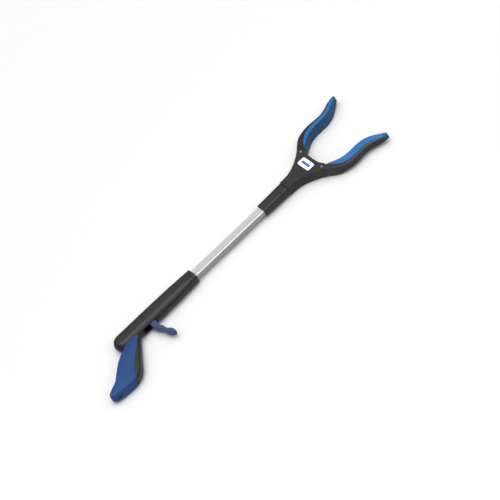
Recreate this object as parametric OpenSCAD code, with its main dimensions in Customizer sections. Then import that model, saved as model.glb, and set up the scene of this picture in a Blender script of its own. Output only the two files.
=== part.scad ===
// Reacher grabber: pistol grip and trigger, straight tube, and a pair of padded jaws.
// Millimetres.  +X runs from the grip to the jaws, +Y is away from the grip, and
// +Z is the front face.  The tool lies on its back, centred on the origin.

/* [Tube] */
// Length of bare tube between the handle and the neck sleeve
bare_tube = 162; // [120:1:320]
// Tube height, along Y
tube_y = 16; // [13:0.5:16]
// Tube thickness, along Z
tube_z = 10; // [8:0.5:10]
// Tube wall
tube_wall = 1.2; // [0.8:0.1:1.4]

/* [Rod and pins] */
// Pull rod radius
rod_r = 1.5; // [1.2:0.05:1.6]
// Trigger pivot pin radius
trigger_pin_r = 2; // [1.6:0.1:2.1]
// Jaw pivot pin radius
jaw_pin_r = 2.2; // [1.8:0.1:2.6]
// Radial running clearance of every pivot
run_gap = 0.06; // [0.04:0.01:0.09]

/* [Spring] */
// Mean radius of the return spring
spring_r = 4; // [3.5:0.1:4.4]
// Wire radius of the return spring
wire_r = 0.5; // [0.35:0.05:0.6]
// Number of coils
coils = 8; // [5:1:10]

/* [Label] */
// Label plate length, across the head
label_y = 30; // [18:1:31]
// Label plate width, along the tool
label_x = 16; // [8:1:17]

/* [Hidden] */
$fn = 48;
half_t = 12;          // half of the overall thickness
fix_gap = 0.05;       // gap between pieces that are fixed together
free_gap = 0.35;      // gap between pieces that move past each other

// handle
hous_y = 17;          // half height of the housing
hous_z = 12;          // half thickness of the housing
hous_r = 11.5;        // corner radius of the housing
hous_wall = 2;
hous_end = -169;      // centre of the round rear end
pivot = [-106, 9.38]; // trigger pivot
arm_r = 9.5;          // trigger pivot to drive pin
half_swing = 13;      // half of the trigger travel, degrees
lever_z = 5.5;        // half thickness of the trigger
drive = [pivot[0] + arm_r * sin(half_swing), pivot[1] - arm_r * cos(half_swing)];
drive_r = 1.5;
handle_screws = [[-72, 6.5], [-72, -6.5], [-150, 3]];
tab_x = [-171, -153];  // tab that holds the grip in the housing
tab_y = [-19, -13];

// head, measured from the end of the bare tube
sleeve_len = 56;
jaw_pin = [122, 29];  // pivot of the jaw on the +Y side
tail_r = 8.15;        // jaw pivot to tail pin
jaw_swing = 31.6;     // travel of each jaw, degrees
tail_pin_r = 1.2;
lobe_r = 7.9;         // rounded end of the head around a jaw pivot
hub_r = 5.8;          // round root of a jaw, inside the head
head_z = 10;          // half thickness of the head
head_screws = [[100, 13.5], [100, -13.5]];
label_at = 109.5;
seat_x = 62;          // front face of the sleeve's spigot
spring_end = 96;      // rear face of the crosshead

// ---------- helpers ----------

// one point of a smooth curve through the points p, between p[i] and p[i + 1]
function curve_at(p, i, t) =
    let (a = p[max(i - 1, 0)], b = p[i], c = p[i + 1], d = p[min(i + 2, len(p) - 1)])
    0.5 * (2 * b + (c - a) * t + (2 * a - 5 * b + 4 * c - d) * t * t
           + (3 * b - a - 3 * c + d) * t * t * t);

// smooth open curve through p, with n steps between neighbours
function smooth(p, n) = concat(
    [for (i = [0:len(p) - 2], k = [0:n - 1]) curve_at(p, i, k / n)],
    [p[len(p) - 1]]);

function backwards(p) = [for (i = [len(p) - 1:-1:0]) p[i]];

// moves to the origin of the finished part
module placed() {
    translate([-mid_x, -mid_y, half_t]) children();
}

// moves the head group to the end of the bare tube
module at_head() {
    translate([bare_tube, 0, 0]) children();
}

module rounded_rect(hx, hy, r) {
    square([2 * hx, 2 * (hy - r)], center = true);
    square([2 * (hx - r), 2 * hy], center = true);
    for (sx = [-1, 1])
        for (sy = [-1, 1])
            translate([sx * (hx - r), sy * (hy - r)]) circle(r);
}

// bar along X with a rounded-rectangle section
module bar(x0, x1, hy, hz, r) {
    translate([x0, 0, 0]) rotate([90, 0, 90])
        linear_extrude(x1 - x0) rounded_rect(hy, hz, r);
}

// round pin or hole along Z
module pin_z(at, r, z0, z1) {
    translate([at[0], at[1], z0]) cylinder(r = r, h = z1 - z0);
}

module plate(points, z0, z1) {
    translate([0, 0, z0]) linear_extrude(z1 - z0) polygon(points);
}

// plate whose outline is a side view: points are [x, z], thickness along Y
module side_plate(points, y0, y1) {
    translate([0, y1, 0]) rotate([90, 0, 0]) linear_extrude(y1 - y0) polygon(points);
}

// solid through rings of points, each ring with the same number of points and
// running anticlockwise when seen from the last ring
module skin(rings) {
    m = len(rings[0]);
    n = len(rings);
    pts = [for (r = rings) for (p = r) p];
    sides = [for (i = [0:n - 2], j = [0:m - 1]) for (t = [0, 1])
        let (k = (j + 1) % m, a = i * m + j, b = i * m + k,
             c = (i + 1) * m + k, d = (i + 1) * m + j)
        t == 0 ? [a, c, b] : [a, d, c]];
    polyhedron(pts, concat([[for (j = [0:m - 1]) j]], sides,
                           [[for (j = [m - 1:-1:0]) (n - 1) * m + j]]), 6);
}

// ---------- handle ----------

// outside of the two housing shells, grown by g
module housing_solid(g = 0) {
    hull() {
        for (z = [-1, 1])
            translate([hous_end, 0, z * (hous_z - hous_r)])
                rotate_extrude($fn = 40)
                    intersection() {
                        translate([hous_y - hous_r, 0]) circle(hous_r + g, $fn = 28);
                        translate([0, -20]) square(40);
                    }
        bar(-101, -100, hous_y + g, hous_z + g, hous_r + g);
    }
    hull() {
        bar(-101, -100, hous_y + g, hous_z + g, hous_r + g);
        bar(-46, -45, 15.9 + g, 11.5 + g, 10.5 + g);
    }
    hull() {
        bar(-46, -45, 15.9 + g, 11.5 + g, 10.5 + g);
        bar(-1, 0, 12.3 + g, 10 + g, 6 + g);
    }
}

// half of the housing, side = 1 for the front and -1 for the back
module housing_half(side) {
    difference() {
        union() {
            difference() {
                intersection() {
                    housing_solid();
                    translate([-95, 0, side * 20]) cube([200, 40, 40], center = true);
                }
                bar(-172, -70, hous_y - hous_wall, hous_z - hous_wall, hous_r - hous_wall);
            }
            // posts for the screws
            for (p = handle_screws) pin_z(p, 3.6, min(0, side * 10.3), max(0, side * 10.3));
            // bearing for the trigger pin
            pin_z(pivot, 3.3, side > 0 ? 5.85 : -9.2, side > 0 ? 9.2 : -5.85);
        }
        bar(-60, 1, tube_y / 2 + fix_gap, tube_z / 2 + fix_gap, 1.2);
        translate([-71, 0, 0]) rotate([0, 90, 0]) cylinder(r = rod_r + 0.5, h = 14);
        // slot for the trigger
        translate([-132.5, -hous_y - 1, -lever_z - 0.4]) cube([30, 7, 2 * lever_z + 0.8]);
        // opening for the tab of the grip core
        translate([tab_x[0] - fix_gap, tab_y[0] - 1, -5 - fix_gap])
            cube([tab_x[1] - tab_x[0] + 2 * fix_gap, 7.2, 10 + 2 * fix_gap]);
        pin_z(pivot, trigger_pin_r + 0.02, -8.7, 8.7);
        for (p = handle_screws) {
            pin_z(p, 1.3, -12, 7);
            pin_z(p, 2.9, -13, -9.1);
        }
        // two shallow grooves near the tube end
        for (x = [-7, -12])
            difference() {
                translate([x, 0, 0]) cube([0.9, 40, 40], center = true);
                bar(x - 2, x + 2, 12.3, 10.05, 5.9);
            }
    }
}

module housing_front() {
    color([0.10, 0.10, 0.11]) placed() housing_half(1);
}

module housing_back() {
    color([0.10, 0.10, 0.11]) placed() housing_half(-1);
}

module screw(at, z0, z1, r, head_r, head_h) {
    difference() {
        union() {
            pin_z(at, r, z0, z1);
            pin_z(at, head_r, z0, z0 + head_h);
        }
        translate([at[0], at[1], z0 - 0.1]) cylinder(r = 1.1, h = 1.2, $fn = 6);
    }
}

module housing_screws() {
    color([0.62, 0.63, 0.65]) placed()
        for (p = handle_screws) screw(p, -10.9, 6.9, 1.25, 2.8, 1.75);
}

// rear and front edge of the grip, from inside the housing down to the pommel
grip_rear = [[-176, -8], [-179, -13], [-185, -18], [-195, -23.5], [-205.8, -31],
    [-216, -39.7], [-227, -49.8], [-236.3, -57.9], [-244.5, -62.3], [-252.5, -65.6],
    [-258.5, -69.5], [-261.6, -74.5], [-261, -79], [-257.5, -82.5]];
grip_front = [[-132, -5], [-135.5, -10], [-139, -14], [-145.9, -22], [-153.9, -33],
    [-161.8, -43.2], [-169.4, -53], [-177.2, -63], [-184.9, -73.2], [-193.2, -80.8],
    [-203, -85.6], [-213.5, -87.2], [-226, -87], [-238, -86.3]];
grip_half_z = [7.6, 8, 8.5, 9.8, 11.4, 12, 12, 12, 12, 12, 11.8, 11.2, 9.6, 6.5];
// width of the hard strip on the finger side
grip_strip = [1.5, 2.1, 3.6, 4.8, 6.4, 9.2, 11.6, 13.2, 14.2, 10.4, 4.2, 1.7, 0.7, 0.8];

function power(v, e) = sign(v) * pow(abs(v), e);

// first n rings of the grip, pulled in by g on every side
function grip_rings(g, n = len(grip_rear)) = let (m = 28)
    [for (i = [0:n - 1])
        let (r = grip_rear[i], f = grip_front[i], mid = (r + f) / 2,
             half = (f - r) / 2, len_h = norm(half), k = (len_h - g) / len_h,
             hz = grip_half_z[i] - g)
        [for (j = [0:m - 1]) let (a = 360 * j / m)
            [mid[0] + half[0] * k * power(cos(a), 0.55),
             mid[1] + half[1] * k * power(cos(a), 0.55),
             hz * power(sin(a), 0.55)]]];

// finger side of the line where the cushion stops
finger_side = concat(
    [for (i = [0:len(grip_front) - 1])
        let (f = grip_front[i], r = grip_rear[i]) f + grip_strip[i] * (r - f) / norm(r - f)],
    [[-238, -110], [-100, -110], [-100, -5]]);

module grip_core() {
    color([0.13, 0.13, 0.14]) placed() {
        difference() {
            union() {
                intersection() {
                    skin(grip_rings(0.5));
                    plate(finger_side, -20, 20);
                }
                skin(grip_rings(3.2, 12));
            }
            housing_solid(fix_gap);
        }
        translate([tab_x[0], tab_y[0], -5])
            cube([tab_x[1] - tab_x[0], tab_y[1] - tab_y[0], 10]);
    }
}

module grip_cushion() {
    color([0.16, 0.30, 0.58]) placed()
        difference() {
            skin(grip_rings(0));
            housing_solid(fix_gap);
            plate(finger_side, -20, 20);
            skin(grip_rings(3, 13));
        }
}

// ---------- trigger ----------

lever_edge = [[-109.1, 8], [-111.5, 0], [-115.3, -10], [-117, -17], [-116.8, -24],
    [-116, -30], [-113.6, -36.5], [-111.4, -42], [-110.4, -47.5], [-110.2, -53],
    [-108, -58.5], [-104.6, -63], [-101, -65.6], [-98.4, -65.4], [-97.9, -61.5],
    [-98.6, -56.5], [-100.6, -52.4], [-103.2, -49.2], [-104.2, -44.5], [-104.2, -40],
    [-105.6, -35], [-107.6, -30.5], [-107, -26], [-105, -21], [-103.8, -14],
    [-100.6, -6], [-100, 0], [-102.9, 8]];

module trigger_lever() {
    color([0.16, 0.30, 0.58]) placed()
        difference() {
            union() {
                plate(smooth(lever_edge, 3), -lever_z, lever_z);
                pin_z(pivot, 3.1, -lever_z, lever_z);
            }
            // fork around the clevis
            translate([-125, -6, -2]) cube([40, 12, 4]);
            pin_z(pivot, trigger_pin_r + run_gap, -6, 6);
            pin_z(drive, drive_r + 0.02, -6, 6);
        }
}

module trigger_pin() {
    color([0.68, 0.69, 0.71]) placed() pin_z(pivot, trigger_pin_r, -8.6, 8.6);
}

module drive_pin() {
    color([0.68, 0.69, 0.71]) placed() pin_z(drive, drive_r, -lever_z, lever_z);
}

// ---------- tube and rod ----------

module tube() {
    color([0.78, 0.79, 0.80]) placed()
        difference() {
            bar(-58, bare_tube + 54, tube_y / 2, tube_z / 2, 1.2);
            bar(-59, bare_tube + 55, tube_y / 2 - tube_wall, tube_z / 2 - tube_wall, 0.4);
            pin_z([bare_tube + 28, 0], 1.7, -8, 0);
        }
}

module pull_rod() {
    color([0.66, 0.67, 0.69]) placed()
        translate([-92, 0, 0]) rotate([0, 90, 0])
            cylinder(r = rod_r, h = bare_tube + 110 + 92);
}

module rod_clevis() {
    color([0.85, 0.85, 0.83]) placed()
        difference() {
            union() {
                translate([drive[0] - 3.6, -3.6, -1.65]) cube([20, 7.2, 3.3]);
                bar(-95, -78, 4, 3.6, 1);
            }
            // slot for the drive pin
            for (y = [-0.2, 0.2])
                pin_z([drive[0], y], drive_r + 0.1, -3, 3);
            translate([drive[0] - drive_r - 0.1, -0.2, -3])
                cube([2 * drive_r + 0.2, 0.4, 6]);
            translate([-92.1, 0, 0]) rotate([0, 90, 0])
                cylinder(r = rod_r + 0.02, h = 20);
        }
}

module rod_guides() {
    color([0.85, 0.85, 0.83]) placed()
        for (x = [-48, bare_tube + 8])
            difference() {
                bar(x, x + 10, tube_y / 2 - tube_wall - fix_gap,
                    tube_z / 2 - tube_wall - fix_gap, 0.4);
                translate([x - 1, 0, 0]) rotate([0, 90, 0])
                    cylinder(r = rod_r + run_gap, h = 12);
            }
}

// ---------- sleeve and head ----------

module neck_sleeve() {
    color([0.12, 0.12, 0.13]) placed() at_head()
        difference() {
            union() {
                hull() {
                    bar(0, 1, 10.5, 7.5, 2.8);
                    bar(sleeve_len - 1.3, sleeve_len - 0.3, 11.2, 8.9, 3.2);
                }
                bar(sleeve_len - 1, seat_x, 8.4, 6.4, 1.5);
            }
            bar(-1, 54.2, tube_y / 2 + fix_gap, tube_z / 2 + fix_gap, 1.2);
            translate([50, 0, 0]) rotate([0, 90, 0]) cylinder(r = rod_r + 0.7, h = 20);
            // fine groove
            difference() {
                translate([42, 0, 0]) cube([0.8, 40, 40], center = true);
                bar(40, 44, 10.7, 8.2, 2.8);
            }
            pin_z([28, 0], 1.3, -12, 0);
            pin_z([28, 0], 2.9, -12, -6.3);
        }
}

module sleeve_screw() {
    color([0.62, 0.63, 0.65]) placed() at_head()
        screw([28, 0], -7.6, -3.7, 1.25, 2.8, 1.2);
}

// outline of the head on the +Y side, from the sleeve to the crotch
head_edge = smooth([[56, 10.8], [62, 10.5], [70, 10.8], [77, 12], [83, 13.8],
    [89, 16.1], [95, 19.3], [101, 22.9], [107, 26.8], [112.5, 30.9], [116.2, 34.1],
    [118.6, 36.3]], 3);
crotch_edge = smooth([[129.7, 30], [128.2, 25.5], [126.4, 20], [125.3, 14], [124.6, 7],
    [124.4, 0]], 3);

function mirrored(p) = [for (q = backwards(p)) [q[0], -q[1]]];

head_half = concat(head_edge, crotch_edge);
head_points = concat(head_half, mirrored(head_half));

// inside of the head, leaving the wall
room_edge = [[50, 8.7], [62, 8.7], [76, 9.1], [84, 10.7], [91, 13.6], [98, 17.3],
    [104, 21], [110, 25.4], [114, 29], [117, 32], [122, 32], [124.8, 25.6], [125.2, 24],
    [125.2, 20.8], [123.8, 18], [122.7, 13], [122.2, 8], [122.1, 0]];
room_points = concat(room_edge, mirrored(room_edge));

// space for the root of the +Y jaw, over its whole swing
mouth = concat([jaw_pin], [for (a = [-16:19:98]) jaw_pin + 12 * [cos(a), sin(a)]]);

// half of the head, with the inner side at z = 0
module head_half_shell() {
    difference() {
        union() {
            difference() {
                linear_extrude(head_z)
                    union() {
                        polygon(head_points);
                        for (s = [-1, 1])
                            translate([jaw_pin[0], s * jaw_pin[1]]) circle(lobe_r);
                    }
                translate([0, 0, -1]) linear_extrude(8) polygon(room_points);
                for (s = [0, 1])
                    mirror([0, s, 0]) {
                        pin_z(jaw_pin, hub_r + 0.45, -1, 7);
                        plate(mouth, -1, 7);
                    }
            }
            for (p = head_screws) pin_z(p, 3, 0, 8);
        }
        for (s = [-1, 1])
            pin_z([jaw_pin[0], s * jaw_pin[1]], jaw_pin_r + 0.02, -1, 12);
    }
}

module head_front() {
    color([0.13, 0.13, 0.14]) placed() at_head()
        difference() {
            head_half_shell();
            translate([label_at, 0, head_z - 0.3])
                linear_extrude(1) rounded_rect(label_x / 2 + 0.1, label_y / 2 + 0.1, 2.6);
            for (p = head_screws) pin_z(p, 1.3, -1, 6.5);
        }
}

module head_back() {
    color([0.13, 0.13, 0.14]) placed() at_head()
        mirror([0, 0, 1])
            difference() {
                head_half_shell();
                for (p = head_screws) {
                    pin_z(p, 1.3, -1, 12);
                    pin_z(p, 2.9, 8.1, 12);
                }
            }
}

module head_screws_set() {
    color([0.62, 0.63, 0.65]) placed() at_head()
        for (p = head_screws) screw(p, -9.7, 6.3, 1.25, 2.8, 1.55);
}

module label_plate() {
    color([0.93, 0.93, 0.92]) placed() at_head()
        translate([label_at, 0, head_z - 0.25])
            linear_extrude(0.55) rounded_rect(label_x / 2, label_y / 2, 2.5);
}

module jaw_pins() {
    color([0.80, 0.80, 0.78]) placed() at_head()
        for (s = [-1, 1])
            pin_z([jaw_pin[0], s * jaw_pin[1]], jaw_pin_r, -head_z - 0.3, head_z + 0.3);
}

// ---------- crosshead and spring ----------

cross_half = [[114, 0], [114, 5], [117, 12], [118.5, 18], [118.5, 24.9], [124.8, 24.9],
    [124.8, 20.5], [123.4, 18.4], [121.8, 15.5], [120.5, 10], [120.3, 5], [120.3, 0]];

module crosshead() {
    tail_y = jaw_pin[1] - tail_r;
    slot_lo = tail_y;
    slot_hi = jaw_pin[1] - tail_r * cos(jaw_swing);
    color([0.85, 0.85, 0.83]) placed() at_head()
        difference() {
            union() {
                bar(spring_end, 118, 4.6, 4.2, 1);
                plate(concat(cross_half, mirrored(cross_half)), -1.6, 1.6);
            }
            for (s = [-1, 1]) {
                for (y = [slot_lo, slot_hi])
                    pin_z([jaw_pin[0] - 0.04, s * y], tail_pin_r + 0.16, -3, 3);
                translate([jaw_pin[0] - 0.04, s * (slot_lo + slot_hi) / 2, 0])
                    cube([2 * tail_pin_r + 0.32, slot_hi - slot_lo, 6], center = true);
            }
            translate([spring_end - 1, 0, 0]) rotate([0, 90, 0])
                cylinder(r = rod_r + 0.02, h = 15.1);
        }
}

module return_spring() {
    n = 16;
    m = 8;
    x0 = seat_x + 0.6;
    span = spring_end - 0.6 - x0;
    color([0.60, 0.61, 0.63]) placed() at_head()
        skin([for (i = [0:coils * n])
            let (a = 360 * i / n, x = x0 + span * i / (coils * n))
            [for (j = [0:m - 1]) let (b = -360 * j / m, r = spring_r + wire_r * cos(b))
                [x + wire_r * sin(b), r * cos(a), r * sin(a)]]]);
}

// ---------- jaws ----------

// lines of the +Y jaw from root to tip: gripping face, back of the pad, outer back
pad_face = [[131.2, 30], [136, 34], [143.5, 39], [150, 42.8], [157, 46], [165, 47.6],
    [173, 48.2], [181, 48.2], [189, 48.1], [196.5, 48.8], [204, 50.5], [210.5, 53],
    [216.5, 56.2], [223, 60.4], [229, 64.6], [234.5, 68], [238, 70.9], [237.6, 74.8]];
pad_back = [[130.6, 32.4], [134.5, 38.6], [141, 46.4], [147.8, 51.5], [155.2, 55.4],
    [164, 58.2], [173, 59], [181.8, 58.8], [189, 58.3], [195.5, 58.4], [201.5, 59.4],
    [207, 61.3], [212.6, 64], [218.9, 67.6], [224.6, 70.8], [228.8, 72.7], [229.3, 73.7],
    [229.3, 74.9]];
outer_back = [[119.1, 36.95], [121.6, 39.6], [127, 45.6], [134.5, 53], [141, 57.7],
    [148, 61], [161, 64.4], [174, 65], [188, 64], [200, 64.6], [211, 68.2], [219.5, 72],
    [225, 74.2], [228.4, 75.2]];
pad_face_z = [8.5, 9.5, 10.4, 11, 11.5, 11.8, 12, 12, 12, 12, 11.9, 11.6, 11, 9.9, 8.6,
    7.2, 5.8, 5];
pad_back_z = [5.6, 6.6, 7.3, 7.6, 7.6, 7.6, 7.6, 7.6, 7.6, 7.6, 7.5, 7.4, 7.1, 6.8,
    6.4, 6, 5.2, 4.6];

// black arm of the +Y jaw; the other jaw is its mirror image
module jaw_arm() {
    back = smooth(pad_back, 2);
    used = [for (p = back) if (p[0] < 228.7) p];
    line = concat(smooth(outer_back, 3), backwards(used), [[128, 30.5], [124, 33]]);
    side = [[110, 10], [130, 10], [142, 8.8], [156, 7.4], [172, 6.6], [215, 6.2], [229, 5]];
    tail = jaw_pin - [0, tail_r];
    difference() {
        union() {
            difference() {
                intersection() {
                    plate(line, -10, 10);
                    side_plate(concat(side, [for (p = backwards(side)) [p[0], -p[1]]]),
                               20, 90);
                }
                pin_z(jaw_pin, lobe_r + free_gap, -12, 12);
            }
            // root that enters the head
            pin_z(jaw_pin, hub_r, -6.6, 6.6);
            plate([[121.9, 34.2], [123, 40], [134, 49], [136, 42], [131.2, 34.5],
                   [127, 30.5]], -6.6, 6.6);
            // tail that the crosshead moves
            pin_z(tail, 2.2, -5, 5);
            translate([tail[0] - 2.2, tail[1], -5]) cube([4.4, 5, 10]);
        }
        pin_z(jaw_pin, jaw_pin_r + run_gap, -12, 12);
        // gap in the tail for the crosshead
        difference() {
            translate([jaw_pin[0] - 14, jaw_pin[1] - 14, -2]) cube([28, 12.2, 4]);
            pin_z(jaw_pin, 3.6, -3, 3);
        }
        pin_z(tail, tail_pin_r + 0.02, -6, 6);
    }
}

module jaw_pad() {
    face = smooth(pad_face, 2);
    back = smooth(pad_back, 2);
    fz = [for (z = smooth(pad_face_z, 2)) min(z, half_t)];
    bz = smooth(pad_back_z, 2);
    skin([for (i = [0:len(face) - 1])
        let (p = face[i], q = back[i], u = (p - q) / norm(p - q),
             b = q + u * 2 * fix_gap, c = p + (q - p) * 0.1)
        [[c[0], c[1], -fz[i]], [b[0], b[1], -bz[i]], [b[0], b[1], bz[i]],
         [c[0], c[1], fz[i]], [p[0], p[1], 0.94 * fz[i]], [p[0], p[1], -0.94 * fz[i]]]]);
}

module jaw_upper_arm() {
    color([0.12, 0.12, 0.13]) placed() at_head() jaw_arm();
}

module jaw_upper_pad() {
    color([0.10, 0.42, 0.66]) placed() at_head() jaw_pad();
}

module jaw_upper_tail_pin() {
    color([0.68, 0.69, 0.71]) placed() at_head()
        pin_z([jaw_pin[0], jaw_pin[1] - tail_r], tail_pin_r, -5, 5);
}

module jaw_lower_arm() {
    color([0.12, 0.12, 0.13]) placed() at_head() mirror([0, 1, 0]) jaw_arm();
}

module jaw_lower_pad() {
    color([0.10, 0.42, 0.66]) placed() at_head() mirror([0, 1, 0]) jaw_pad();
}

module jaw_lower_tail_pin() {
    color([0.68, 0.69, 0.71]) placed() at_head()
        pin_z([jaw_pin[0], tail_r - jaw_pin[1]], tail_pin_r, -5, 5);
}

// ---------- placement ----------

// middle of the finished part
mid_x = (bare_tube + max([for (p = pad_face) p[0]]) + min([for (p = grip_rear) p[0]])) / 2;
mid_y = (max([for (p = outer_back) p[1]]) + min([for (p = grip_front) p[1]])) / 2;

housing_front();
housing_back();
housing_screws();
grip_core();
grip_cushion();
trigger_lever();
trigger_pin();
drive_pin();
tube();
pull_rod();
rod_clevis();
rod_guides();
neck_sleeve();
sleeve_screw();
head_front();
head_back();
head_screws_set();
label_plate();
crosshead();
return_spring();
jaw_pins();
jaw_upper_arm();
jaw_upper_pad();
jaw_upper_tail_pin();
jaw_lower_arm();
jaw_lower_pad();
jaw_lower_tail_pin();
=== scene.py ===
# Looks of the reacher grabber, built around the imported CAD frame.
import math
import bmesh
import bpy
from mathutils import Matrix, Vector


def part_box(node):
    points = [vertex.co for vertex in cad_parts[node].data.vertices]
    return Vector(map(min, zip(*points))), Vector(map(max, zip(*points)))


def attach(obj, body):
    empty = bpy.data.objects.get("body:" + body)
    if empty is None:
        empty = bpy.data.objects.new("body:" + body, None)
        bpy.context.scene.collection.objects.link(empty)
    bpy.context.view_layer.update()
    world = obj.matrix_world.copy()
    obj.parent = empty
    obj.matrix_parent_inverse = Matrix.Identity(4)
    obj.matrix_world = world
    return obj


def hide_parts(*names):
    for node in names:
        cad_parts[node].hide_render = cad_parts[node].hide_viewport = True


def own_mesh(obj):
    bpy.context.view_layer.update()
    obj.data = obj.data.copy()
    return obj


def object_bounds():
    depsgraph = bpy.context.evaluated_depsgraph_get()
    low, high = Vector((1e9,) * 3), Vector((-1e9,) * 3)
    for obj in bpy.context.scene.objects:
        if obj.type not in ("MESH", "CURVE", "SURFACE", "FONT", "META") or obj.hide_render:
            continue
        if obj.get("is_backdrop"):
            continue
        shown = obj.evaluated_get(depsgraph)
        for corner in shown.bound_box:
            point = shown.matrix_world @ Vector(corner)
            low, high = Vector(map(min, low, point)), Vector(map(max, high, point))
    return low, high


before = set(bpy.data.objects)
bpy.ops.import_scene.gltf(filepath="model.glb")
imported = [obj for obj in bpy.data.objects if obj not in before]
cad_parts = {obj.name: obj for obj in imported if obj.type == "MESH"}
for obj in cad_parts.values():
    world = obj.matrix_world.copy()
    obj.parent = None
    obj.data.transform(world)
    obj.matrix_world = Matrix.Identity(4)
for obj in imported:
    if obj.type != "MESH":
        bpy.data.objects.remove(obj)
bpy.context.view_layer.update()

# The modelling origin: end of the housing where the tube comes out, on the tube's axis, mid-thickness.
# Every size below is in mm from there, with x towards the jaws, as in the CAD source.
house_low, house_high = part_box("housing_front")
ORIGIN = Vector((house_high.x, (house_low.y + house_high.y) / 2, house_low.z))
MM = 0.001
REACH = 162.0                      # bare tube; head and jaws are measured from its end
JAW_PIN = (REACH + 122, 29)        # pivot of the jaw on the +Y side


def at(x, y, z):
    """Point given in mm from the modelling origin, in the row frame."""
    return ORIGIN + Vector((x, y, z)) * MM


def in_head(points):
    """Points measured from the end of the bare tube, moved to the modelling origin."""
    return [(REACH + x, y) for x, y in points]


# ---------------------------------------------------------------- curves

def curve_at(p, i, t):
    a, b, c, d = (p[max(i - 1, 0)], p[i], p[i + 1], p[min(i + 2, len(p) - 1)])
    return tuple(0.5 * (2 * b[k] + (c[k] - a[k]) * t + (2 * a[k] - 5 * b[k] + 4 * c[k] - d[k]) * t * t
                        + (3 * b[k] - a[k] - 3 * c[k] + d[k]) * t ** 3) for k in range(len(b)))


def smooth(p, n):
    """Smooth open curve through points of any number of values, with n steps between neighbours."""
    p = [q if isinstance(q, (tuple, list)) else (q,) for q in p]
    return [curve_at(p, i, k / n) for i in range(len(p) - 1) for k in range(n)] + [tuple(p[-1])]


def rounded(points, cuts, n=4):
    """Closed 2D outline with each corner rounded off: cuts[i] is how far from corner i the curve starts."""
    out = []
    for i, c in enumerate(points):
        c = Vector(c)
        a, b = Vector(points[i - 1]), Vector(points[(i + 1) % len(points)])
        da = min(cuts[i], (a - c).length * 0.48)
        db = min(cuts[i], (b - c).length * 0.48)
        p, q = c + (a - c).normalized() * da, c + (b - c).normalized() * db
        for k in range(n + 1):
            t = k / n
            out.append(tuple(p * (1 - t) ** 2 + c * 2 * t * (1 - t) + q * t * t))
    return out


# ---------------------------------------------------------------- meshes

def new_object(name, mesh_data):
    obj = bpy.data.objects.new(name, mesh_data)
    bpy.context.scene.collection.objects.link(obj)
    return obj


def shade(mesh_data):
    mesh_data.polygons.foreach_set("use_smooth", [True] * len(mesh_data.polygons))
    mesh_data.update()


def loft(name, rings):
    """Closed mesh through rings of points in mm; every ring has the same number of points."""
    n, m = len(rings), len(rings[0])
    bm = bmesh.new()
    rows = [[bm.verts.new(at(*p)) for p in ring] for ring in rings]
    for i in range(n - 1):
        for j in range(m):
            k = (j + 1) % m
            bm.faces.new((rows[i][j], rows[i][k], rows[i + 1][k], rows[i + 1][j]))
    bm.faces.new(list(reversed(rows[0])))
    bm.faces.new(rows[-1])
    bmesh.ops.remove_doubles(bm, verts=bm.verts, dist=1e-6)
    bmesh.ops.recalc_face_normals(bm, faces=bm.faces)
    data = bpy.data.meshes.new(name)
    bm.to_mesh(data)
    bm.free()
    shade(data)
    return new_object(name, data)


def plate(name, outline, z0, z1, edge=0.0, steps=3):
    """Plate with that outline in mm and rounded rims."""
    bm = bmesh.new()
    low = [bm.verts.new(at(x, y, z0)) for x, y in outline]
    face = bm.faces.new(low)
    made = bmesh.ops.extrude_face_region(bm, geom=[face])
    lift = [v for v in made["geom"] if isinstance(v, bmesh.types.BMVert)]
    bmesh.ops.translate(bm, verts=lift, vec=(0, 0, (z1 - z0) * MM))
    bmesh.ops.recalc_face_normals(bm, faces=bm.faces)
    if edge:
        rim = [e for e in bm.edges if abs(e.verts[0].co.z - e.verts[1].co.z) < 1e-7]
        bmesh.ops.bevel(bm, geom=rim, offset=edge * MM, segments=steps, profile=0.5,
                        affect="EDGES", clamp_overlap=True)
    data = bpy.data.meshes.new(name)
    bm.to_mesh(data)
    bm.free()
    shade(data)
    return new_object(name, data)


def lathe(name, profile, centre, steps=40):
    """Round piece about a line along Z: profile is [(radius, z), ...] in mm."""
    rings = [[(centre[0] + r * math.cos(2 * math.pi * k / steps),
               centre[1] + r * math.sin(2 * math.pi * k / steps), z) for k in range(steps)]
             for r, z in profile]
    return loft(name, rings)


def cut(obj, *tools):
    """Takes the tools away from obj and removes them."""
    for tool in tools:
        mod = obj.modifiers.new("cut", "BOOLEAN")
        mod.operation = "DIFFERENCE"
        mod.solver = "EXACT"
        mod.object = tool
        bpy.context.view_layer.update()
        dg = bpy.context.evaluated_depsgraph_get()
        data = bpy.data.meshes.new_from_object(obj.evaluated_get(dg))
        obj.modifiers.clear()
        obj.data = data
        bpy.data.objects.remove(tool)
    return obj


def finish_mesh(obj, angle=32):
    """Smooth shading that keeps every edge sharper than angle crisp."""
    bm = bmesh.new()
    bm.from_mesh(obj.data)
    bmesh.ops.remove_doubles(bm, verts=bm.verts, dist=2e-6)
    bmesh.ops.dissolve_degenerate(bm, edges=bm.edges, dist=1e-6)
    for e in bm.edges:
        e.smooth = not (len(e.link_faces) == 2 and e.calc_face_angle(0) > math.radians(angle))
    bm.to_mesh(obj.data)
    bm.free()
    shade(obj.data)
    mod = obj.modifiers.new("normals", "WEIGHTED_NORMAL")
    mod.keep_sharp = True
    mod.weight = 60
    return obj


def join(name, *objs):
    """One object out of several."""
    bm = bmesh.new()
    for o in objs:
        bm.from_mesh(o.data)
        bpy.data.objects.remove(o)
    data = bpy.data.meshes.new(name)
    bm.to_mesh(data)
    bm.free()
    shade(data)
    return new_object(name, data)


def mirror_y(obj, name):
    """Copy of obj on the other side of the tool's axis."""
    data = obj.data.copy()
    data.transform(Matrix.Translation((0, 2 * ORIGIN.y, 0)) @ Matrix.Diagonal((1, -1, 1, 1)))
    data.flip_normals()
    return new_object(name, data)


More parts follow.
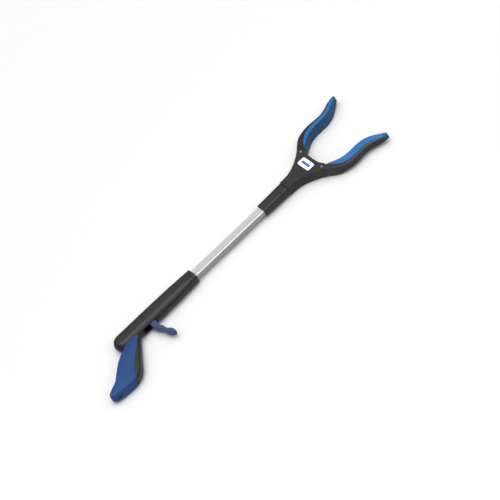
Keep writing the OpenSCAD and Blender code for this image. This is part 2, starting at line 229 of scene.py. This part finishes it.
def box_tool(x0, x1, y0, y1, z0, z1):
    return plate("tool", [(x0, y0), (x1, y0), (x1, y1), (x0, y1)], z0, z1)


def round_tool(centre, r, z0, z1, steps=48):
    return plate("tool", [(centre[0] + r * math.cos(2 * math.pi * k / steps),
                           centre[1] + r * math.sin(2 * math.pi * k / steps))
                          for k in range(steps)], z0, z1)


# ---------------------------------------------------------------- materials

def material(name, colour, rough, metal=0.0, tint=0.10, grain=1400.0, bump=0.12, stretch=(1, 1, 1),
             coat=0.0, depth=0.00006, ior=1.5):
    """Moulded or drawn surface: fine grain in the bump, slow change of tone, uneven gloss.

    tint is how far the tone strays from colour, grain the scale of the fine noise, bump and depth the
    strength and height of the relief, and stretch draws the noise out along an axis.
    """
    gloss_spread = 0.06
    mat = bpy.data.materials.new(name)
    mat.use_nodes = True
    nodes, links = mat.node_tree.nodes, mat.node_tree.links
    shader = nodes["Principled BSDF"]
    shader.inputs["Metallic"].default_value = metal
    shader.inputs["IOR"].default_value = ior
    shader.inputs["Coat Weight"].default_value = coat
    coords = nodes.new("ShaderNodeTexCoord")
    place = nodes.new("ShaderNodeMapping")
    place.inputs["Scale"].default_value = stretch
    links.new(coords.outputs["Object"], place.inputs["Vector"])

    def noise(scale, detail=4.0, roughness=0.55):
        n = nodes.new("ShaderNodeTexNoise")
        n.inputs["Scale"].default_value = scale
        n.inputs["Detail"].default_value = detail
        n.inputs["Roughness"].default_value = roughness
        links.new(place.outputs["Vector"], n.inputs["Vector"])
        return n.outputs["Fac"]

    def spread(fac, low, high):
        m = nodes.new("ShaderNodeMapRange")
        m.inputs["From Min"].default_value = 0.25
        m.inputs["From Max"].default_value = 0.75
        m.inputs["To Min"].default_value = low
        m.inputs["To Max"].default_value = high
        links.new(fac, m.inputs["Value"])
        return m.outputs["Result"]

    slow, fine = noise(28.0, 3.0), noise(grain, 3.0)
    mix = nodes.new("ShaderNodeMix")
    mix.data_type = "RGBA"
    mix.inputs[6].default_value = (*[c * (1 - tint) for c in colour], 1)
    mix.inputs[7].default_value = (*[min(1, c * (1 + tint)) for c in colour], 1)
    links.new(spread(slow, 0.0, 1.0), mix.inputs[0])
    links.new(mix.outputs[2], shader.inputs["Base Color"])
    links.new(spread(noise(90.0), rough - gloss_spread, rough + gloss_spread),
              shader.inputs["Roughness"])
    b = nodes.new("ShaderNodeBump")
    b.inputs["Strength"].default_value = bump
    b.inputs["Distance"].default_value = depth
    links.new(fine, b.inputs["Height"])
    links.new(b.outputs["Normal"], shader.inputs["Normal"])
    mat["base"] = mix.name                      # the node that add_bar paints over
    return mat


BLACK = material("black_plastic", (0.0075, 0.0075, 0.008), 0.38, tint=0.12, grain=1700, bump=0.22,
                 ior=1.40)
DARK = material("grip_core_plastic", (0.012, 0.012, 0.013), 0.50, tint=0.12, grain=1300, bump=0.5,
                ior=1.42)
GRIP = material("grip_rubber", (0.008, 0.044, 0.152), 0.56, tint=0.09, grain=1100, bump=0.5, ior=1.34)
TRIGGER = material("trigger_blue", (0.023, 0.042, 0.106), 0.42, tint=0.06, grain=1500, bump=0.2,
                   ior=1.40)
PAD = material("jaw_rubber", (0.006, 0.108, 0.30), 0.50, tint=0.08, grain=1200, bump=0.4, ior=1.30)
PAD_FACE = material("jaw_rubber_face", (0.013, 0.060, 0.140), 0.62, tint=0.14, grain=900, bump=0.6,
                    ior=1.33)
TUBE = material("tube_aluminium", (0.53, 0.54, 0.56), 0.30, metal=1.0, tint=0.02, grain=900,
                bump=0.15, stretch=(0.02, 1, 1), depth=0.00003)
# darker copy of the tube's aluminium for its narrow sides: painted shade standing in for the shade those
# sides fall in
TUBE_SIDE_PAINTED_SHADE = material("tube_aluminium_side_painted_shade", (0.30, 0.30, 0.31), 0.42, metal=1.0, tint=0.03, grain=900,
                     bump=0.2, stretch=(0.02, 1, 1), depth=0.00003)
PIN = material("pin_steel", (0.24, 0.24, 0.25), 0.36, metal=1.0, tint=0.06, grain=1100, bump=0.15)
STEEL = material("steel", (0.66, 0.67, 0.69), 0.32, metal=1.0, tint=0.05, grain=1200, bump=0.1)
NATURAL = material("natural_plastic", (0.72, 0.72, 0.69), 0.45, tint=0.03, grain=1200, bump=0.1)
LABEL = material("label_white", (0.90, 0.90, 0.90), 0.30, tint=0.015, grain=800, bump=0.03, coat=0.3)


def add_bar(mat, centre, half, colour):
    """Paints one plain rectangular bar into a material, by place on the object."""
    nodes, links = mat.node_tree.nodes, mat.node_tree.links
    shader = nodes["Principled BSDF"]
    base = nodes[mat["base"]]
    coords = nodes.new("ShaderNodeTexCoord")
    split = nodes.new("ShaderNodeSeparateXYZ")
    links.new(coords.outputs["Object"], split.inputs[0])
    inside = None
    for axis in (0, 1):
        off = nodes.new("ShaderNodeMath")
        off.operation = "SUBTRACT"
        off.inputs[1].default_value = centre[axis]
        links.new(split.outputs[axis], off.inputs[0])
        size = nodes.new("ShaderNodeMath")
        size.operation = "ABSOLUTE"
        links.new(off.outputs[0], size.inputs[0])
        less = nodes.new("ShaderNodeMath")
        less.operation = "LESS_THAN"
        less.inputs[1].default_value = half[axis]
        links.new(size.outputs[0], less.inputs[0])
        if inside is None:
            inside = less.outputs[0]
        else:
            both = nodes.new("ShaderNodeMath")
            both.operation = "MULTIPLY"
            links.new(inside, both.inputs[0])
            links.new(less.outputs[0], both.inputs[1])
            inside = both.outputs[0]
    mix = nodes.new("ShaderNodeMix")
    mix.data_type = "RGBA"
    links.new(inside, mix.inputs[0])
    links.new(base.outputs[2], mix.inputs[6])
    mix.inputs[7].default_value = (*colour, 1)
    links.new(mix.outputs[2], shader.inputs["Base Color"])


def wear(obj, mat, body, slot, *nodes):
    """Gives a piece its material and body and hides the CAD nodes it stands for; the record slot is not
    used.
    """
    obj.data.materials.clear()
    obj.data.materials.append(mat)
    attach(obj, body)
    if nodes:
        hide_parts(*nodes)
    return obj


# ---------------------------------------------------------------- housing

HOUSE_END = -169.0                  # centre of the round rear end
# position, half height, half thickness and corner radius along the housing
HOUSE_SIZE = ((-190, 17, 12, 11.5), (-100, 17, 12, 11.5), (-45, 15.9, 11.5, 10.5), (0, 12.3, 10, 6))
HOUSE_EDGE = 1.6                    # rounding of the front edge
LEVER_Z = 5.5                       # half thickness of the trigger
HANDLE_SCREWS = ((-72, 6.5), (-72, -6.5), (-150, 3))
SCREW_WELL = 3.0                    # radius of the wells over the screws, in the back


def house_ring(x, side, seam=0.12):
    """Half section of the housing at x, closed along the parting plane."""
    n = 14
    hy, hz, r = HOUSE_SIZE[-1][1:]
    for (xa, *sa), (xb, *sb) in zip(HOUSE_SIZE, HOUSE_SIZE[1:]):
        if xa <= x <= xb:
            hy, hz, r = (p + (q - p) * (x - xa) / (xb - xa) for p, q in zip(sa, sb))
    end = max(0.0, x + HOUSE_EDGE)
    if end > 0:                                   # rounded front edge
        pull = HOUSE_EDGE - math.sqrt(max(0.0, HOUSE_EDGE ** 2 - end ** 2))
        hy, hz, r = hy - pull, hz - pull, r - pull * 0.5
    groove = 0.35 * sum(math.exp(-((x - g) / 0.45) ** 2) for g in (-7, -12.5))
    hy, hz = hy - groove, hz - groove
    top = hz - r
    quarter = [(hy, z) for z in (seam + 0.3, max(top, seam + 0.4))]
    quarter += [(hy - r + r * math.cos(a), top + r * math.sin(a))
                for a in [math.pi / 2 * k / n for k in range(1, n + 1)]]
    quarter += [((hy - r) * t, hz) for t in (0.66, 0.33)]
    far = max(0.0, HOUSE_END - x)                 # rounded rear end
    if far > 0:
        core = hy - r
        lift = math.sqrt(max(0.0, r * r - max(0.0, far - core) ** 2))
        quarter = [(math.sqrt(y * y - far * far), z) if y > far else (0.0, min(z, top + lift))
                   for y, z in quarter]
    pts = quarter + [(0.0, quarter[-1][1])] + [(-y, z) for y, z in reversed(quarter)]
    edge = 0.25
    wide = pts[0][0]
    inner = max(0.0, wide - edge)
    pts = pts + [(-inner, seam), (0.0, seam), (inner, seam)]
    return [(x, y, side * z) for y, z in pts]


# sections: close together round the rear end, at the two grooves and at the front edge
house_x = ([HOUSE_END - HOUSE_SIZE[0][1] * math.sin(math.pi / 2 * (1 - k / 18)) for k in range(19)]
           + [-150, -120, -100, -92, -75, -60, -50, -45, -40, -34, -28, -22, -17]
           + [-14.4, -13.4, -12.9, -12.5, -12.1, -11.6, -10.6, -8.8, -7.9, -7.4, -7, -6.6, -6.1, -5]
           + [-3, -1.6, -1.1, -0.6, -0.25, 0])
house_x[0] += 0.02                  # the first section keeps some width
for side, half in ((1, "front"), (-1, "back")):
    shell = loft("housing_shell_" + half, [house_ring(x, side) for x in house_x])
    slot = box_tool(-132.5, -102.5, -19, 9, -LEVER_Z - 0.4, LEVER_Z + 0.4)    # the trigger's way
    tools = [slot]
    if side < 0:
        tools += [round_tool(p, SCREW_WELL, -13, -9.1) for p in HANDLE_SCREWS]
    cut(shell, *tools)
    finish_mesh(shell)
    wear(shell, BLACK, "frame", "black_plastic", "housing_" + half)

# ---------------------------------------------------------------- grip

# rear edge, finger edge, half thickness and width of the hard strip, from the housing to the pommel
REAR = [(-176, -8), (-179, -13), (-185, -18), (-195, -23.5), (-205.8, -31), (-216, -39.7),
        (-227, -49.8), (-236.3, -57.9), (-244.5, -62.3), (-252.5, -65.6), (-258.5, -69.5),
        (-261.6, -74.5), (-261, -79), (-257.5, -82.5), (-253, -84.5)]
FRONT = [(-132, -5), (-135.5, -10), (-139, -14), (-145.9, -22), (-153.9, -33), (-161.8, -43.2),
         (-169.4, -53), (-177.2, -63), (-184.9, -73.2), (-193.2, -80.8), (-203, -85.6),
         (-213.5, -87.2), (-226, -87), (-238, -86.3), (-246, -85.6)]
HALF_Z = [7.6, 8, 8.5, 9.8, 11.4, 12, 12, 12, 12, 12, 11.8, 11.2, 9.6, 6.5, 3.4]
BORDER = [1.5, 2.1, 3.6, 4.8, 6.4, 9.2, 11.6, 13.2, 14.2, 10.4, 4.2, 0, 0, 0, 0]
GRIP_SQUARE = 0.57                  # exponent of the section: 1 is an ellipse, less is squarer
CUSHION = 1.6                       # thickness of the cushion's edge
LIP = ((1, 1), (1, 0.5), (0.8, 0.1875), (0.3, 0.04375))    # its rounding, as shares of lead and depth


def power(v, e):
    return math.copysign(abs(v) ** e, v)


grip_rows = smooth([(*r, *f, h, b) for r, f, h, b in zip(REAR, FRONT, HALF_Z, BORDER)], 4)


def grip_point(row, angle, inset):
    """Point of the grip's skin: angle 0 faces the trigger, 180 the palm."""
    r, f = Vector(row[0:2]), Vector(row[2:4])
    mid, half = (r + f) / 2, (f - r) / 2
    k = max(0.05, (half.length - inset) / half.length)
    u, v = power(math.cos(angle), GRIP_SQUARE), power(math.sin(angle), GRIP_SQUARE)
    p = mid + half * k * u
    return (p.x, p.y, (row[4] - min(inset, row[4] * 0.8)) * v)


def border_angle(row):
    """Angle at which the cushion's edge runs."""
    half = (Vector(row[2:4]) - Vector(row[0:2])).length / 2
    u = 1 - max(0.0, min(0.9, row[5] / half))
    return math.acos(u ** (1 / GRIP_SQUARE))


core_rings, cushion_rings = [], []
for row in grip_rows:
    if len(core_rings) < len(grip_rows) - 8:    # the core ends inside the pommel
        core_rings.append([grip_point(row, 2 * math.pi * k / 56, 0.55) for k in range(56)])
    a = border_angle(row)
    b = 2 * math.pi - a
    outer = [(a + (b - a) * k / 48, 0.0) for k in range(49)]
    open_by = max(0.02, min(1.0, row[5] / 1.5))   # the cushion closes up under the pommel
    lead, deep = 0.022 * open_by, CUSHION * open_by
    ring = ([(a - lead * p, deep * q) for p, q in LIP] + outer
            + [(b + lead * p, deep * q) for p, q in reversed(LIP)]
            + [(b + (a - b) * k / 12, deep) for k in range(1, 12)])
    cushion_rings.append([grip_point(row, t, inset) for t, inset in ring])
core = finish_mesh(loft("grip_core_body", core_rings), 60)
wear(core, DARK, "frame", "black_plastic", "grip_core")
cushion = finish_mesh(loft("grip_cushion_skin", cushion_rings), 60)
wear(cushion, GRIP, "frame", "grip_rubber", "grip_cushion")

# ---------------------------------------------------------------- trigger

# outline of the trigger: down the side of the grip, round the foot and up the finger side
LEVER = [(-109.1, 8), (-111.5, 0), (-115.3, -10), (-117, -17), (-116.8, -24), (-116, -30),
         (-113.6, -36.5), (-111.4, -42), (-110.4, -47.5), (-110.2, -53), (-108, -58.5), (-104.6, -63),
         (-101, -65.6), (-98.4, -65.4), (-97.9, -61.5), (-98.6, -56.5), (-100.6, -52.4), (-103.2, -49.2),
         (-104.2, -44.5), (-104.2, -40), (-105.6, -35), (-107.6, -30.5), (-107, -26), (-105, -21),
         (-103.8, -14), (-100.6, -6), (-100, 0), (-102.9, 8)]
lever = plate("trigger_blade", smooth(LEVER, 4), -LEVER_Z, LEVER_Z, edge=1.9, steps=5)
cut(lever, box_tool(-125, -90, -6, 6, -2, 2))
finish_mesh(lever, 40)
wear(lever, TRIGGER, "trigger", "trigger_blue", "trigger_lever")

# ---------------------------------------------------------------- neck sleeve

SLEEVE_LONG = 56
SLEEVE_GROOVE = 42                  # place of the thin line round the sleeve


def bar_ring(x, hy, hz, r, n=6):
    """Section of a bar along x with half sizes hy and hz and corners rounded by r."""
    quarter = [(hy, (hz - r) * t) for t in (0, 0.5)] + [
        (hy - r + r * math.cos(a), hz - r + r * math.sin(a))
        for a in [math.pi / 2 * k / n for k in range(n + 1)]] + [((hy - r) * 0.5, hz)]
    up = quarter + [(0, hz)] + [(-y, z) for y, z in reversed(quarter)][:-1]
    return [(x, y, z) for y, z in up] + [(x, -y, -z) for y, z in up]


sleeve_rings = [bar_ring(REACH + 0.0, 8.0, 5.2, 1.4)]
for s in (0.0, 0.15, 0.45, 0.9, 6, 16, 28, 38, 40.6, 41.4, 41.7, 42.0, 42.3, 42.6, 43.4, 48, 53,
          54.7, 55.2, 55.5, 55.65):
    t = s / SLEEVE_LONG
    pull = 0.9 - math.sqrt(max(0, 0.81 - (0.9 - min(s, 0.9)) ** 2))      # rounded rim at the tube
    pull += 0.6 - math.sqrt(max(0, 0.36 - max(0, s - 55.05) ** 2))       # rounded rim at the head
    pull += 0.32 * math.exp(-((s - SLEEVE_GROOVE) / 0.3) ** 2)
    sleeve_rings.append(bar_ring(REACH + s, 10.5 + 0.7 * t - pull, 7.5 + 1.4 * t - pull,
                                 2.9 + 0.4 * t - pull * 0.4))
sleeve_rings.append(bar_ring(REACH + 55.7, 8.0, 6.0, 1.4))
sleeve = loft("neck_sleeve_skin", sleeve_rings)
spigot = loft("spigot", [bar_ring(REACH + s, 8.4, 6.4, 1.5) for s in (55, 62)])
sleeve = finish_mesh(join("neck_sleeve_skin", sleeve, spigot), 35)
cut(sleeve, round_tool((REACH + 28, 0), SCREW_WELL, -9, -6.2))
wear(sleeve, BLACK, "frame", "black_plastic", "neck_sleeve")

# ---------------------------------------------------------------- head

HEAD_Z = 10                         # half thickness of the head
SEAM = 0.1                          # half of the gap between its two shells
ROOM_Z = 7.0                        # half height of the room inside
LOBE = 7.9                          # its rounded corner around a jaw pivot
HUB = 5.8                           # round root of a jaw
MOUTH = 12                          # radius of the opening a jaw swings in
# outline of the head on the +Y side: from the sleeve to a jaw pivot, then down into the crotch
HEAD_EDGE = [(56, 10.8), (62, 10.5), (70, 10.8), (77, 12), (83, 13.8), (89, 16.1), (95, 19.3),
             (101, 22.9), (107, 26.8), (112.5, 30.9), (116.2, 34.1)]
CROTCH = [(129.6, 26.8), (128.3, 24.2), (126.6, 20), (125.3, 14), (124.6, 7), (124.4, 0)]
lobe = [(JAW_PIN[0] - REACH + LOBE * math.cos(math.radians(a)),
         JAW_PIN[1] + LOBE * math.sin(math.radians(a))) for a in range(128, -14, -8)]
upper_edge = smooth(HEAD_EDGE, 4) + lobe + smooth(CROTCH, 4)
head_outline = in_head(upper_edge + [(x, -y) for x, y in reversed(upper_edge[:-1])])
ROOM = [(50, 8.7), (62, 8.7), (76, 9.1), (84, 10.7), (91, 13.6), (98, 17.3), (104, 21), (110, 25.4),
        (114, 29), (117, 32), (122, 32), (124.8, 25.6), (125.2, 24), (125.2, 20.8), (123.8, 18),
        (122.7, 13), (122.2, 8), (122.1, 0)]
room_outline = in_head(ROOM + [(x, -y) for x, y in reversed(ROOM[:-1])])

head_screws = [(REACH + 100, 13.5), (REACH + 100, -13.5)]
for side, half in ((1, "front"), (-1, "back")):
    low, high = sorted((side * SEAM, side * HEAD_Z))
    shell = plate("head_shell_" + half, head_outline, low, high)
    bm = bmesh.new()
    bm.from_mesh(shell.data)
    for z, wide in ((side * HEAD_Z, 1.5), (side * SEAM, 0.2)):     # rounded face, broken seam edge
        level = ORIGIN.z + z * MM
        rim = [e for e in bm.edges if all(abs(v.co.z - level) < 1e-6 for v in e.verts)]
        bmesh.ops.bevel(bm, geom=rim, offset=wide * MM, segments=5, profile=0.5, affect="EDGES",
                        clamp_overlap=True)
    bm.to_mesh(shell.data)
    bm.free()
    low, high = sorted((-side * 1.0, side * ROOM_Z))
    tools = [plate("tool", room_outline, low, high)]
    for s in (1, -1):
        mouth = [(JAW_PIN[0] + MOUTH * math.cos(math.radians(a)),
                  s * (JAW_PIN[1] + MOUTH * math.sin(math.radians(a)))) for a in range(-16, 99, 19)]
        tools.append(plate("tool", [(JAW_PIN[0], s * JAW_PIN[1])] + mouth, low, high))
        tools.append(round_tool((JAW_PIN[0], s * JAW_PIN[1]), HUB + 0.45, low, high))
    if side < 0:
        tools += [round_tool(p, SCREW_WELL, -12, -8.4) for p in head_screws]
    cut(shell, *tools)
    finish_mesh(shell, 34)
    wear(shell, BLACK, "frame", "black_plastic", "head_" + half)

label_at = REACH + 109.5
half_x, half_y = 8, 15
label_outline = rounded([(label_at - half_x, -half_y), (label_at + half_x, -half_y),
                         (label_at + half_x, half_y), (label_at - half_x, half_y)], [3.2] * 4, 6)
label = finish_mesh(plate("label_film", label_outline, 9.75, 10.3, edge=0.2, steps=2), 40)
add_bar(LABEL, at(label_at, 0, 0), (0.0026, 0.0105), (0.02, 0.075, 0.30))
wear(label, LABEL, "frame", "label_white", "label_plate")

heads = []
for s in (1, -1):
    where = (JAW_PIN[0], s * JAW_PIN[1])
    for z in (1, -1):
        heads.append(lathe("pin", [(2.2, z * 0.5), (2.2, z * 10.1), (2.1, z * 10.35), (1.75, z * 10.55),
                                   (1.1, z * 10.7), (0.4, z * 10.75)], where))
pins = finish_mesh(join("jaw_pin_heads", *heads), 50)
wear(pins, PIN, "frame", "steel", "jaw_pins")

# ---------------------------------------------------------------- return spring

SPRING = (REACH + 62.6, 32.8, 8, 4.0, 0.5)     # fixed end, length, coils, mean radius, wire radius
PER_TURN, WIRE_SIDES = 16, 8


def wire_rings():
    """Sections of the spring's wire, from its fixed end on."""
    start, length, coils, radius, wire = SPRING
    for k in range(coils * PER_TURN + 1):
        turn = 2 * math.pi * k / PER_TURN
        x = start + length * k / (coils * PER_TURN)
        ring = []
        for j in range(WIRE_SIDES):
            b = -2 * math.pi * j / WIRE_SIDES
            out = radius + wire * math.cos(b)
            ring.append((x + wire * math.sin(b), out * math.cos(turn), out * math.sin(turn)))
        yield ring


spring = finish_mesh(loft("return_spring_wire", list(wire_rings())), 50)
wear(spring, STEEL, "frame", "steel", "return_spring")
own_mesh(spring)

# ---------------------------------------------------------------- jaws

# lines of the jaw on the +Y side from root to tip: gripping face, back of the pad, outer back of the arm
FACE = [(131.2, 30), (136, 34), (143.5, 39), (150, 42.8), (157, 46), (165, 47.6), (173, 48.2), (181, 48.2),
        (189, 48.1), (196.5, 48.8), (204, 50.5), (210.5, 53), (216.5, 56.2), (223, 60.4), (229, 64.6),
        (234.5, 68), (238, 70.9), (237.6, 74.8)]
BACK = [(130.6, 32.4), (134.5, 38.6), (141, 46.4), (147.8, 51.5), (155.2, 55.4), (164, 58.2), (173, 59),
        (181.8, 58.8), (189, 58.3), (195.5, 58.4), (201.5, 59.4), (207, 61.3), (212.6, 64), (218.9, 67.6),
        (224.6, 70.8), (228.8, 72.7), (229.3, 73.7), (229.3, 74.9)]
FACE_Z = [8.5, 9.5, 10.4, 11, 11.5, 11.8, 12, 12, 12, 12, 11.9, 11.6, 11, 9.9, 8.6, 7.2, 5.8, 5]
BACK_Z = [5.6, 6.6, 7.3, 7.6, 7.6, 7.6, 7.6, 7.6, 7.6, 7.6, 7.5, 7.4, 7.1, 6.8, 6.4, 6, 5.2, 4.6]
HALF_T = 12                         # half of the overall thickness
JOIN = 0.05                         # gap between the pad and the arm, on each side


def jaw_ring(inner, outer, section, cuts):
    """Section of a jaw piece across the line from inner to outer: points are (depth, z)."""
    inner, outer = Vector(inner), Vector(outer)
    unit = (outer - inner).normalized()
    return [((inner + unit * d).x + REACH, (inner + unit * d).y, z) for d, z in rounded(section, cuts, 4)]


pad_rings = []
for *f, bx, by, fz, bz in smooth([(*f, *b, p, q) for f, b, p, q in zip(FACE, BACK, FACE_Z, BACK_Z)], 4):
    deep = (Vector((bx, by)) - Vector(f)).length
    fz = min(fz, HALF_T)
    section = [(0, -0.94 * fz), (0, 0.94 * fz), (deep * 0.1, fz), (deep - JOIN, bz), (deep - JOIN, -bz),
               (deep * 0.1, -fz)]
    pad_rings.append(jaw_ring(f, (bx, by), section, [0.8, 0.8, 0.6, 0.25, 0.25, 0.6]))

ARM_IN = [(124, 33), (127, 27.5)] + BACK[:16]
ARM_OUT = [(119.1, 36.95), (121.6, 39.6), (127, 45.6), (134.5, 53), (141, 57.7), (148, 61),
           (154.5, 62.9), (161, 64.4), (174, 65), (182, 64.5), (188, 64), (194, 64.1), (200, 64.6),
           (205.5, 66.2), (211, 68.2), (217, 70.9), (223, 73.4), (228.4, 75.2)]
IN_Z = [10, 10, 9.9, 9.5, 8.8, 8.1, 7.8, 7.6, 7.6, 7.6, 7.6, 7.6, 7.5, 7.4, 7.1, 6.8, 6.4, 5.4]
OUT_Z = [10, 10, 9.6, 8.9, 8.1, 7.3, 6.7, 6.3, 5.9, 5.7, 5.6, 5.5, 5.5, 5.5, 5.4, 5.2, 5, 4.4]
arm_rings = []
for ix, iy, ox, oy, iz, oz in smooth([(*i, *o, p, q) for i, o, p, q
                                      in zip(ARM_IN, ARM_OUT, IN_Z, OUT_Z)], 4):
    deep = (Vector((ox, oy)) - Vector((ix, iy))).length
    section = [(JOIN, -iz), (JOIN, iz), (deep, oz), (deep, -oz)]
    arm_rings.append(jaw_ring((ix, iy), (ox, oy), section, [0.5, 0.5, 1.7, 1.7]))

ROOT_Z = 6.6                        # half thickness of the root inside the head
ARM_CREASE, PAD_CREASE = 34, 40     # edges sharper than this stay crisp, degrees
tip_x = at(REACH + 231.5, 0, 0).x   # where the pads' dull tip begins
arm = loft("arm", arm_rings)
cut(arm, round_tool(JAW_PIN, LOBE + 0.35, -13, 13))
root = round_tool(JAW_PIN, HUB, -ROOT_Z, ROOT_Z)
neck = plate("neck", in_head([(121.9, 34.2), (123, 40), (134, 49), (136, 42), (131.2, 34.5),
                              (127, 30.5)]), -ROOT_Z, ROOT_Z)
arm = finish_mesh(join("jaw_arm_upper", arm, root, neck), ARM_CREASE)
pad = finish_mesh(loft("jaw_pad_upper", pad_rings), PAD_CREASE)
for which, a, p in (("upper", arm, pad), ("lower", mirror_y(arm, "jaw_arm_lower"),
                                          mirror_y(pad, "jaw_pad_lower"))):
    if which == "lower":
        finish_mesh(a, ARM_CREASE)
        finish_mesh(p, PAD_CREASE)
    wear(a, BLACK, "jaw_" + which, "black_plastic", f"jaw_{which}_arm")
    wear(p, PAD, "jaw_" + which, "jaw_rubber", f"jaw_{which}_pad")
    p.data.materials.append(PAD_FACE)
    inward = -1 if which == "upper" else 1
    for face in p.data.polygons:            # the gripping face and the tip are duller
        grips = face.normal.y * inward > 0.55 and abs(face.normal.z) < 0.4
        if grips or face.center.x > tip_x:
            face.material_index = 1

# ---------------------------------------------------------------- CAD nodes that stay

kept = {"tube": TUBE, "pull_rod": STEEL, "rod_clevis": NATURAL, "rod_guides": NATURAL,
        "crosshead": NATURAL, "housing_screws": STEEL, "head_screws_set": STEEL,
        "sleeve_screw": STEEL, "trigger_pin": STEEL, "drive_pin": STEEL, "jaw_upper_tail_pin": STEEL,
        "jaw_lower_tail_pin": STEEL}
for node, mat in kept.items():
    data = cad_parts[node].data
    data.materials.clear()
    data.materials.append(mat)
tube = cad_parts["tube"].data
tube.materials.append(TUBE_SIDE_PAINTED_SHADE)
for face in tube.polygons:                  # the narrow sides get a darker, duller copy of the aluminium: painted shade
    if abs(face.normal.y) > 0.7:
        face.material_index = 1

# ---------------------------------------------------------------- floor, light and camera

FLOOR = 0.62                        # how much light the floor gives back
SKY_FOCUS = 6                       # how much the sky's light gathers overhead
SKY_TOP, SKY_LOW = 4.6, 0.36        # strength of the sky overhead and all round
FILL_W = 7                          # power of the soft light on the camera's side

floor_data = bpy.data.meshes.new("floor")
bm = bmesh.new()
bmesh.ops.create_grid(bm, x_segments=1, y_segments=1, size=6.0)
bm.to_mesh(floor_data)
bm.free()
floor = new_object("floor", floor_data)
floor.location = (0, 0, -0.0004)
floor_mat = bpy.data.materials.new("floor")
floor_mat.use_nodes = True
floor_mat.node_tree.nodes["Principled BSDF"].inputs["Base Color"].default_value = (*[FLOOR] * 3, 1)
floor_mat.node_tree.nodes["Principled BSDF"].inputs["Roughness"].default_value = 0.9
floor_data.materials.append(floor_mat)
floor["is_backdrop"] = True

world = bpy.data.worlds.new("studio")
world.use_nodes = True
sky = world.node_tree
sky_coords = sky.nodes.new("ShaderNodeTexCoord")
sky_split = sky.nodes.new("ShaderNodeSeparateXYZ")
sky_up = sky.nodes.new("ShaderNodeMath")
sky_up.operation = "MAXIMUM"
sky_up.inputs[1].default_value = 0.0
sky_power = sky.nodes.new("ShaderNodeMath")
sky_power.operation = "POWER"
sky_power.inputs[1].default_value = SKY_FOCUS
sky_level = sky.nodes.new("ShaderNodeMath")
sky_level.operation = "MULTIPLY_ADD"
sky_level.inputs[1].default_value = SKY_TOP
sky_level.inputs[2].default_value = SKY_LOW
sky.links.new(sky_coords.outputs["Generated"], sky_split.inputs[0])
sky.links.new(sky_split.outputs["Z"], sky_up.inputs[0])
sky.links.new(sky_up.outputs[0], sky_power.inputs[0])
sky.links.new(sky_power.outputs[0], sky_level.inputs[0])
sky.links.new(sky_level.outputs[0], sky.nodes["Background"].inputs["Strength"])
sky.nodes["Background"].inputs["Color"].default_value = (1, 1, 1, 1)
bpy.context.scene.world = world


def area_light(name, place, target, size, power_w):
    data = bpy.data.lights.new(name, "AREA")
    data.shape = "RECTANGLE"
    data.size, data.size_y = size
    data.energy = power_w
    obj = bpy.data.objects.new(name, data)
    bpy.context.scene.collection.objects.link(obj)
    obj.location = place
    obj.rotation_mode = "QUATERNION"
    obj.rotation_quaternion = (Vector(target) - Vector(place)).to_track_quat("-Z", "Y")
    return obj


area_light("fill", (0.45, -1.5, 1.4), (0, 0, 0), (1.2, 0.4), FILL_W)

# the camera's own axes: to the right and upwards in the picture, and back towards the viewer
right = Vector((0.7077, -0.6134, -0.3507))
up = Vector((0.6730, 0.4342, 0.5988))
back = right.cross(up)
CAM_AWAY = 30.0                     # distance of the camera, m: far enough to look nearly parallel
FRAME_WIDE = 0.845                  # width of the picture at the tool, m
centre = at(0, 0, 0) + right * 0.0945 + up * 0.0430
cam_data = bpy.data.cameras.new("camera")
cam_data.sensor_width = 36
cam_data.lens = cam_data.sensor_width * CAM_AWAY / FRAME_WIDE
cam_data.clip_start, cam_data.clip_end = 0.1, 3 * CAM_AWAY
camera = bpy.data.objects.new("camera", cam_data)
bpy.context.scene.collection.objects.link(camera)
camera.matrix_world = Matrix((
    (right.x, up.x, back.x, 0), (right.y, up.y, back.y, 0), (right.z, up.z, back.z, 0), (0, 0, 0, 1)))
camera.location = centre + back * CAM_AWAY
bpy.context.scene.camera = camera
bpy.context.scene.view_settings.view_transform = "Standard"

low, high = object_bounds()
